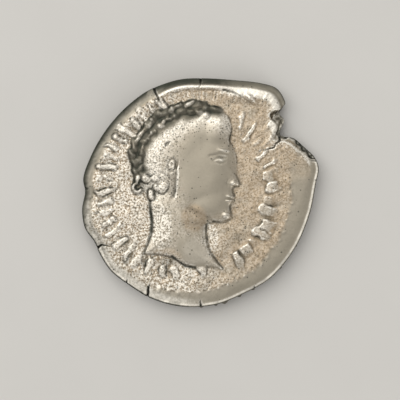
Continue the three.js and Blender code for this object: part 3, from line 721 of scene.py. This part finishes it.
def obverse(coin, sizes):
    """Heights of the obverse, and the sheets that its finish is painted by."""
    x, y, inset, raised, left = coin.x, coin.y, coin.inset, coin.raised, coin.left
    field, top = sizes.field * MM, sizes.coin_top * MM
    flan = flan_surface(coin, field)
    design, rows = struck_rows(coin, flan, field)
    portrait, shine = hair(coin, head(coin, field, top), field, top)
    bust = ramp(blur((portrait > field + 0.01) * 1.0, 0.05), 0.3, 0.8)
    bare = 1 - bust  # the field, outside the portrait
    z = blur(np.maximum(design, portrait), 0.032)
    z = -either(-z, np.full(x.shape, 0.012 - top), 0.06)  # worn to one plane
    cuts, lit = fine_cuts(coin)
    z = z - cuts * bust

    plain, bevel, smooth = smoothness(coin, bust)
    grain = 1 - 0.78 * smooth
    rough = (0.8 * cloud(x, y, 0.12, 5) + 0.7 * cloud(x, y, 0.2, 6)) * grain
    rough = (0.8 + 0.45 * left) * rough * (1 - 0.7 * bust)  # the portrait is worn smoother
    broad = (cloud(x, y, 1.3, 12) + 0.8 * cloud(x, y, 0.6, 13)) * (0.3 + 0.7 * grain)
    # fine streaks run out over the rim's foot
    streaks = cloud(np.radians(coin.turn) * 60, inset * 1.2, 1.0, 14)
    streaks = streaks * ramp(1.9 - inset, 0, 0.3) * raised * (1 - bevel)
    z = z + sizes.grain * MM * (rough + (2.0 - 1.1 * bust) * broad + 1.6 * streaks)
    dent = patch(coin, DENT)
    z, cut = cracked(coin, z - 0.05 * dent, CRACKS)
    z, chipped = broken(coin, z, CHIP, 0, sizes.ledge * MM, 21)
    z, flaked = broken(coin, z, FLAKE, 0.03, sizes.ledge * MM + 0.1, 25)
    z = np.minimum(z, top)

    # what the finish follows
    fine, wide = (z - blur(z, size) for size in (0.07, 0.3))
    slopes = np.hypot(*np.gradient(blur(z, 0.05), GRID))
    patchy = np.clip(0.65 + 0.6 * cloud(x, y, 0.5, 16), 0, 1.2)
    strokes = ramp(rows - flan, 0.0, 0.06) * bare
    gaps = ramp(blur(strokes, 0.25), 0.15, 0.6) * (1 - strokes) * bare
    gaps = gaps * np.clip(0.6 + cloud(x, y, 0.5, 9), 0, 1)
    far, _ = from_path(x, y, CURL_LINE)
    band = hair_toning(coin, far, bust)
    neck_highlight = patch(coin, NECK_HIGHLIGHTS)
    lost = np.maximum(chipped, flaked)

    mottles = ramp(cloud(x, y, 0.45, 7) + 0.6 * cloud(x, y, 0.2, 8), 0.1, 1.0)
    # what is left of the ring of beads: a broken dark line where the field ends
    ended = bump(coin.ring, BEAD_RING - 0.12, 0.13) * ramp(cloud(x, y, 0.16, 35), 0, 0.5)
    # the first of the dark lines is the broadest
    lines = [from_path(x, y, path)[0] + 0.04 * k for k, path in enumerate(DARK_LINES)]
    tone_and_shade = (
        edge_toning(coin)
        # painted shade: the plain margin darkens towards the thin edge, where it falls away from
        # the key light
        + 0.24 * ramp(1.2 - inset, 0, 0.8) * ramp(inset, 0.22, 0.36) * (1 - raised)
        + 0.5 * ended * coin.about(*MARGIN_PART)
        + patch(coin, JAW_SHADE) * (0.8 + 0.6 * cloud(x, y, 0.5, 2))
        + patch(coin, CHEEK_SHADE) + 0.45 * dent
        + patch(coin, HOLLOWS) * patchy * bare * (1 - 0.7 * strokes)
        + (0.17 + 0.03 * left) * mottles * bare * (1 - smooth) * (1 - strokes)
        + (0.2 + 0.4 * ramp(-y, 3, 5)) * gaps + 0.2 * ramp(streaks, 0.1, 0.8)
        # steep slopes, and hollows both fine and wide
        + 0.5 * ramp(slopes, 0.5, 1.1) * (1 - bevel) * patchy * (1 - 0.4 * (1 - left) * bare)
        + 0.65 * patchy * ramp(-fine, 0.006, 0.026) + 0.25 * ramp(-wide, 0.02, 0.08)
        # the hair, but for its rubbed locks, the lines round the bust, and the damage
        + (0.78 + 0.16 * cloud(x, y, 0.35, 36)) * band
        - 0.5 * band * ramp(fine, 0.008, 0.03) - 0.7 * shine
        + (0.4 + 0.5 * patchy) * ramp(0.17 - np.min(lines, axis=0), 0, 0.1)
        + 0.9 * ramp(cut, 0.03, 0.3) + 0.25 * flaked)
    # painted highlight on the crown inside the curls, where the dome turns towards the key light
    crown = 0.36 * ramp(3.2 - far, 0, 2.4) * (1 - plain) + 0.13 * ramp(2.5 - far, 0, 0.8)
    rub_and_sheen = (
        edge_rubbing_and_highlights(coin)
        # high points both fine and wide
        + (0.8 * ramp(fine, 0.004, 0.018) + 0.25 * ramp(wide, 0.01, 0.06))
        * patchy * (1 - 0.6 * band)
        # whole areas: the left side, the strokes, and painted highlights on the crown and the neck
        + ((0.11 + 0.27 * left) * (1 - 0.5 * bust) + (0.08 + 0.3 * left) * strokes
           + crown * bust + 0.3 * neck_highlight) * grain * (1 - band)
        + 0.2 * ramp(-streaks, 0.2, 0.9) + patch(coin, CHEST_RUB)
        # lit is a painted highlight along the side hair's edge
        + 0.7 * shine + 0.9 * lit - 0.35 * gaps
        + 0.3 * lost - 0.5 * lost * ramp(-fine, 0, 0.02))
    film_and_shade = (1 - smooth) * (0.7 + 0.3 * ramp(x + 0.35 * y, -2, 4))
    film_and_shade = film_and_shade * (1 - 0.75 * bust) * (1 - 0.5 * strokes)
    # the jaw's patch is a painted shadow, in darker tan
    film_and_shade = film_and_shade * (1 + 0.35 * cloud(x, y, 0.4, 10) + 1.2 * gaps) + patch(coin, TAN_AND_JAW_SHADOW)
    shown = (0.76 + 0.24 * left) * (1 - 0.5 * bust * (1 - neck_highlight)) * (1 - 0.4 * strokes)
    pocked = 0.18 + 0.1 * left + 0.55 * ramp(far, 0.9, 1.8) * ramp(4 - far, 0, 2) * bust
    paint = {"tone_and_shade": np.clip(tone_and_shade, 0, 1) * (1 - 0.25 * chipped), "rub_and_sheen": rub_and_sheen, "film_and_shade": film_and_shade,
             "grain": grain * shown, "pitted": grain * pocked * (1 - band)}
    return z, {name: np.clip(sheet, 0, 1) for name, sheet in paint.items()}


def underside(coin, sizes):
    """Heights of the reverse, and the sheets that its finish is painted by."""
    x, y = coin.x, coin.y
    field = sizes.reverse_field * MM
    relief = reverse_relief(coin, field)
    under = blur(profile(coin.inset, UNDER_EDGE) - np.minimum(relief, field), 0.06)
    rough = cloud(x, y, 0.16, 41) + 0.8 * cloud(x, y, 0.3, 42)
    under = under + sizes.grain * MM * rough
    through = [crack for crack in CRACKS if crack[2] > 0.5]
    under, cut = cracked(coin, under, through, -0.3)
    under = np.clip(under, 0, None)
    fine = blur(under, 0.12) - under
    slopes = np.hypot(*np.gradient(blur(under, 0.08), GRID))
    tone_and_shade = np.clip(0.8 * ramp(slopes, 0.4, 1.0) + 0.7 * ramp(-fine, 0.008, 0.03)
                   + ramp(cut, 0.05, 0.3), 0, 1)
    rub_and_sheen = np.clip(0.9 * ramp(fine, 0.004, 0.022), 0, 1)
    film_and_shade, grain, pitted = (np.full(x.shape, value) for value in (0.5, 0.8, 0.4))
    return under, {"tone_and_shade": tone_and_shade, "rub_and_sheen": rub_and_sheen, "film_and_shade": film_and_shade, "grain": grain, "pitted": pitted}


# ---- The coin's mesh ----

def disc(coin, count):
    """A square net of count cells a side laid over the flan, denser towards its edge."""
    a, b = np.meshgrid(*[np.linspace(-1, 1, count + 1)] * 2)
    wide = np.abs(a) > np.abs(b)
    reach = np.where(wide, a, b)
    turn = math.pi / 4 * np.where(wide, b, a) / np.where(reach == 0, TINY, reach)
    angle = np.where(wide, turn, math.pi / 2 - turn)
    angle = np.where(reach < 0, angle + math.pi, angle)
    crowd = 0.04  # the share of the way in over which the cells are crowded
    gap = 1 - np.abs(reach)
    gap, whole = (far - 0.5 * crowd * (1 - np.exp(-far / crowd)) for far in (gap, 1))
    reach = 1 - gap / whole
    edge = coin.edge(np.degrees(angle))
    even = np.interp(np.degrees(angle) % 360, np.arange(0, 360, 2),
                     [coin.edge(np.arange(t - 12, t + 13, 2)).mean() for t in range(0, 360, 2)],
                     period=360)
    r = reach * even + (edge - even) * reach ** 10
    return (r * np.cos(angle)).ravel(), (r * np.sin(angle)).ravel()


def border(count):
    """Places of a net's border in its list of points, anticlockwise from its first corner."""
    i, size = np.arange(count), count + 1
    return np.concatenate([i, i * size + count, count * size + count - i, (count - i) * size])


def net_faces(count, down=False):
    """Quads of a net, facing up or down."""
    i = np.arange(count)
    a = (i[:, None] * (count + 1) + i).ravel()
    corners = [a, a + 1, a + count + 2, a + count + 1]
    return np.stack(corners[::-1] if down else corners, axis=1)


def ring_faces(upper, lower):
    """Quads between two rings of the same size, facing out."""
    return np.stack([lower, np.roll(lower, -1), np.roll(upper, -1), upper], axis=1)


def stitch_faces(upper, lower):
    """Triangles between a ring and one with half its points, facing out."""
    even, odd, after = upper[0::2], upper[1::2], np.roll(upper[0::2], -1)
    following = np.roll(lower, -1)
    return np.concatenate([np.stack(t, axis=1) for t in (
        (lower, odd, even), (lower, following, odd), (following, after, odd))])


def edge_ring(x, y, top, part):
    """A ring of the coin's edge between the two faces, uneven as it was struck."""
    turn = direction(x, y)
    z = top + (FOOT - top) * part
    reach = np.hypot(x, y)
    lumps = 0.05 * cloud(x * 1.3, y * 1.3 + 9 * part, 0.5, 51) - 0.05
    out = sum(far * bump(away(turn, at), 0, wide) for at, wide, far in BURRS)
    body = math.sin(math.pi * part)
    r = reach + body * lumps + out * ramp(part, 0.15, 0.45) * ramp(1.0 - part, 0.0, 0.3)
    return np.stack([x * r / reach, y * r / reach, z], axis=1)


def coin_mesh(sizes):
    """The whole coin as one closed mesh, with what its finish is painted by at every point."""
    coin = Ground()
    half = sizes.cells // 2
    upper, upper_paint = obverse(coin, sizes)
    lower, lower_paint = underside(coin, sizes)
    x, y = disc(coin, 2 * half)
    u, v = disc(coin, half)
    rim, foot = border(2 * half), border(half)
    over = np.maximum(coin.read(upper, x, y), coin.read(lower, x, y) + THINNEST)
    under = coin.read(lower, u, v)
    under[foot] = FOOT
    rings = [edge_ring(x[rim], y[rim], over[rim], part) for part in WALL_PARTS]
    points = [np.stack([x, y, over], axis=1), *rings, np.stack([u, v, under], axis=1)]
    starts = np.cumsum([0] + [len(p) for p in points])
    circles = [rim] + [start + np.arange(len(rim)) for start in starts[1:-2]]
    quads = [net_faces(2 * half), net_faces(half, down=True) + starts[-2]]
    quads += [ring_faces(a, b) for a, b in zip(circles, circles[1:])]
    threes = stitch_faces(circles[-1], starts[-2] + foot)
    mesh = bpy.data.meshes.new("denarius_struck")
    fill_mesh(mesh, np.concatenate(points) / MM, np.concatenate(quads), threes)
    uneven = 0.2 * cloud(x[rim] * 2, y[rim] * 2, 0.5, 61)
    for name, usual in WALL_FINISH.items():
        wall = [np.clip(usual + uneven, 0, 1)] * len(rings)
        values = np.concatenate([coin.read(upper_paint[name], x, y), *wall,
                                 coin.read(lower_paint[name], u, v)]).astype(np.float32)
        mesh.attributes.new(name, "FLOAT", "POINT").data.foreach_set("value", values)
    return mesh


def fill_mesh(mesh, points, quads, threes):
    """Fills a mesh with points and faces in one go, and shades it smooth."""
    loops = np.concatenate([quads.ravel(), threes.ravel()]).astype(np.int32)
    totals = np.concatenate([np.full(len(quads), 4), np.full(len(threes), 3)])
    mesh.vertices.add(len(points))
    mesh.vertices.foreach_set("co", points.astype(np.float32).ravel())
    mesh.loops.add(len(loops))
    mesh.loops.foreach_set("vertex_index", loops)
    mesh.polygons.add(len(totals))
    mesh.polygons.foreach_set("loop_start", (np.cumsum(totals) - totals).astype(np.int32))
    mesh.polygons.foreach_set("use_smooth", np.ones(len(totals), bool))
    mesh.update(calc_edges=True)
    mesh.validate()


# ---- Materials ----

def add(tree, kind, settings=None, **inputs):
    """Adds a node: its settings, and its inputs as values or as links from sockets or nodes."""
    node = tree.nodes.new("ShaderNode" + kind)
    for name, value in (settings or {}).items():
        setattr(node, name, value)
    for name, value in inputs.items():
        key = int(name[1:]) if name[0] == "_" else name.replace("_", " ")
        if isinstance(value, bpy.types.Node):
            value = value.outputs[0]
        if isinstance(value, bpy.types.NodeSocket):
            tree.links.new(value, node.inputs[key])
        else:
            node.inputs[key].default_value = value
    return node


def plain_material(name):
    """A new material with an empty tree."""
    material = bpy.data.materials.new(name)
    material.use_nodes = True
    material.node_tree.nodes.clear()
    return material, material.node_tree


def toned_silver(finish):
    """Struck silver, toned with age and worn by handling.

    The high points are rubbed to a soft bright grey, the fields keep a thin tan film with a fine
    grain of specks and pits, and slopes and hollows keep a dark grey-brown toning. The rubbing,
    the film and the toning also carry painted highlights and painted shade.
    """
    material, tree = plain_material("toned_struck_silver")
    mark = {name: add(tree, "Attribute", {"attribute_name": name}).outputs["Fac"]
            for name in WALL_FINISH}
    place = add(tree, "TexCoord").outputs["Object"]
    specks = add(tree, "TexNoise", Vector=place, Scale=SPECKS * MM, Detail=3.0, Roughness=0.75)
    blotches = add(tree, "TexNoise", Vector=place, Scale=BLOTCHES * MM, Detail=4.0)
    mix, times = {"data_type": "RGBA"}, {"operation": "MULTIPLY"}
    fused = {"operation": "MULTIPLY_ADD"}
    clamped = {**fused, "use_clamp": True}
    film_and_shade = add(tree, "Math", fused, _0=blotches, _1=1.8, _2=-0.9)
    film_and_shade = add(tree, "Math", clamped, _0=film_and_shade, _1=mark["film_and_shade"], _2=mark["film_and_shade"])
    base = add(tree, "Mix", mix, _0=film_and_shade, _6=(*finish.plane, 1), _7=(*finish.film_and_shade, 1))
    # bright flecks where the grain is rubbed
    lit = add(tree, "MapRange", Value=specks, From_Min=0.54, From_Max=0.43, To_Min=-1, To_Max=1.9)
    lit = add(tree, "Math", times, _0=lit, _1=mark["grain"])
    bright = add(tree, "Math", clamped, _0=mark["rub_and_sheen"], _1=lit, _2=mark["rub_and_sheen"])
    # dark specks between the flecks, and in some of the cells a sharp pit of 0.1 to 0.16 mm
    dark = add(tree, "MapRange", Value=specks, From_Min=0.52, From_Max=0.63, To_Max=0.52)
    dark = add(tree, "Math", times, _0=dark, _1=mark["grain"])
    cells = add(tree, "TexVoronoi", Vector=place, Scale=PITS * MM)
    chance = add(tree, "SeparateColor", Color=cells.outputs["Color"])
    far = add(tree, "Math", fused, _0=chance.outputs[1], _1=0.2, _2=cells.outputs["Distance"])
    pit = add(tree, "MapRange", Value=far, From_Min=0.5, From_Max=0.28, To_Max=0.8)
    kept = add(tree, "Math", {"operation": "LESS_THAN"}, _0=chance.outputs[0], _1=mark["pitted"])
    pit = add(tree, "Math", times, _0=pit, _1=kept)
    dark = add(tree, "Math", {"operation": "MAXIMUM"}, _0=dark, _1=pit)
    for amount, paint in ((bright, finish.bright), (dark, finish.toning_and_shade),
                          (mark["tone_and_shade"], finish.toning_and_shade)):
        base = add(tree, "Mix", mix, _0=amount, _6=base.outputs[2], _7=(*paint, 1))
    rough = add(tree, "MapRange", Value=mark["grain"], To_Min=finish.smooth, To_Max=finish.rough)
    grain = add(tree, "Math", times, _0=specks, _1=mark["grain"])
    relief = add(tree, "Bump", Strength=0.8, Distance=0.02 / MM, Height=grain)
    shader = add(tree, "BsdfPrincipled", Base_Color=base.outputs[2], Metallic=1.0,
                 Roughness=rough, Normal=relief)
    add(tree, "OutputMaterial", Surface=shader)
    return material


def matt_card(studio):
    """Pale matt card, pressed: an even light surface with only a trace of unevenness."""
    material, tree = plain_material("matt_card")
    place = add(tree, "TexCoord").outputs["Object"]
    cloudy = add(tree, "TexNoise", Vector=place, Scale=CLOUDS * MM, Detail=3.0)
    shade = add(tree, "MapRange", Value=cloudy, To_Min=0.97, To_Max=1.02)
    card = add(tree, "Mix", {"data_type": "RGBA", "blend_type": "MULTIPLY"},
               _0=1.0, _6=(*studio.floor, 1), _7=shade)
    shader = add(tree, "BsdfPrincipled", Base_Color=card.outputs[2], Roughness=0.9)
    add(tree, "OutputMaterial", Surface=shader)
    return material


# ---- Operators ----

class DENARIUS_OT_coin(Operator):
    """Makes the struck coin with its relief, cracks and chip"""
    bl_idname = "denarius.coin"
    bl_label = "Struck coin"

    def execute(self, context):
        scene = context.scene
        coin = bpy.data.objects.new("struck_denarius", coin_mesh(scene.denarius_sizes))
        scene.collection.objects.link(coin)
        coin.data.materials.append(toned_silver(scene.denarius_finish))
        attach(coin, "root")
        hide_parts("denarius")
        return {"FINISHED"}


class DENARIUS_OT_stage(Operator):
    """Makes the pale floor, the soft light and the camera that looks down on the coin"""
    bl_idname = "denarius.stage"
    bl_label = "Stage"

    def execute(self, context):
        scene, studio = context.scene, context.scene.denarius_studio
        self.lay_floor(scene, studio)
        self.hang_lights(scene, studio)
        self.set_camera(scene)
        return {"FINISHED"}

    def lay_floor(self, scene, studio):
        mesh = bpy.data.meshes.new("floor")
        half = FLOOR_HALF
        corners = [(-half, -half, 0), (half, -half, 0), (half, half, 0), (-half, half, 0)]
        mesh.from_pydata(corners, [], [(0, 1, 2, 3)])
        floor = bpy.data.objects.new("floor", mesh)
        mesh.materials.append(matt_card(studio))
        scene.collection.objects.link(floor)

    def hang_lights(self, scene, studio):
        world = bpy.data.worlds.new("soft_room")
        world.use_nodes = True
        world.node_tree.nodes["Background"].inputs["Color"].default_value = (*[studio.sky] * 3, 1)
        scene.world = world
        # a soft square light at the upper left, 55 degrees up, and a low weak one across from it
        for name, place, size, radiance in (("key_light", KEY_PLACE, KEY_SIZE, studio.key),
                                            ("low_light", LOW_PLACE, LOW_SIZE, studio.low)):
            light = bpy.data.lights.new(name, "AREA")
            light.shape, light.size = "SQUARE", size
            light.energy = radiance * math.pi * size ** 2
            lamp = bpy.data.objects.new(name, light)
            lamp.location = place
            lamp.rotation_euler = (-lamp.location).to_track_quat("-Z", "Y").to_euler()
            scene.collection.objects.link(lamp)
        scene.view_settings.view_transform = "Standard"

    def set_camera(self, scene):
        camera = bpy.data.cameras.new("camera")
        camera.lens, camera.clip_start, camera.clip_end = 150, 0.002, 20
        above = VIEW_WIDTH * camera.lens / camera.sensor_width
        eye = bpy.data.objects.new("camera", camera)
        eye.location = (*VIEW_MIDDLE, HIGH[2] / MM + above)
        scene.collection.objects.link(eye)
        scene.camera = eye


class DENARIUS_PT_panel(Panel):
    """Sizes, finish and stage of the denarius"""
    bl_idname = "DENARIUS_PT_panel"
    bl_label = "Denarius"
    bl_space_type = "VIEW_3D"
    bl_region_type = "UI"
    bl_category = "Denarius"

    def draw(self, context):
        for group in GROUPS:
            box = self.layout.box()
            for name in GROUPS[group].__annotations__:
                box.prop(getattr(context.scene, group), name)
        for operator in OPERATORS:
            self.layout.operator(operator.bl_idname)


GROUPS = {"denarius_sizes": CoinSizes, "denarius_finish": SilverFinish,
          "denarius_studio": StudioSetup}
OPERATORS = (DENARIUS_OT_coin, DENARIUS_OT_stage)
CLASSES = (*GROUPS.values(), *OPERATORS, DENARIUS_PT_panel)


def register():
    for kind in CLASSES:
        bpy.utils.register_class(kind)
    for name, kind in GROUPS.items():
        setattr(bpy.types.Scene, name, PointerProperty(type=kind))


def unregister():
    for name in GROUPS:
        delattr(bpy.types.Scene, name)
    for kind in reversed(CLASSES):
        bpy.utils.unregister_class(kind)


def main():
    register()
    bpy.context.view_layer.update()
    for operator in (bpy.ops.denarius.coin, bpy.ops.denarius.stage):
        operator()


if __name__ == "__main__":
    main()
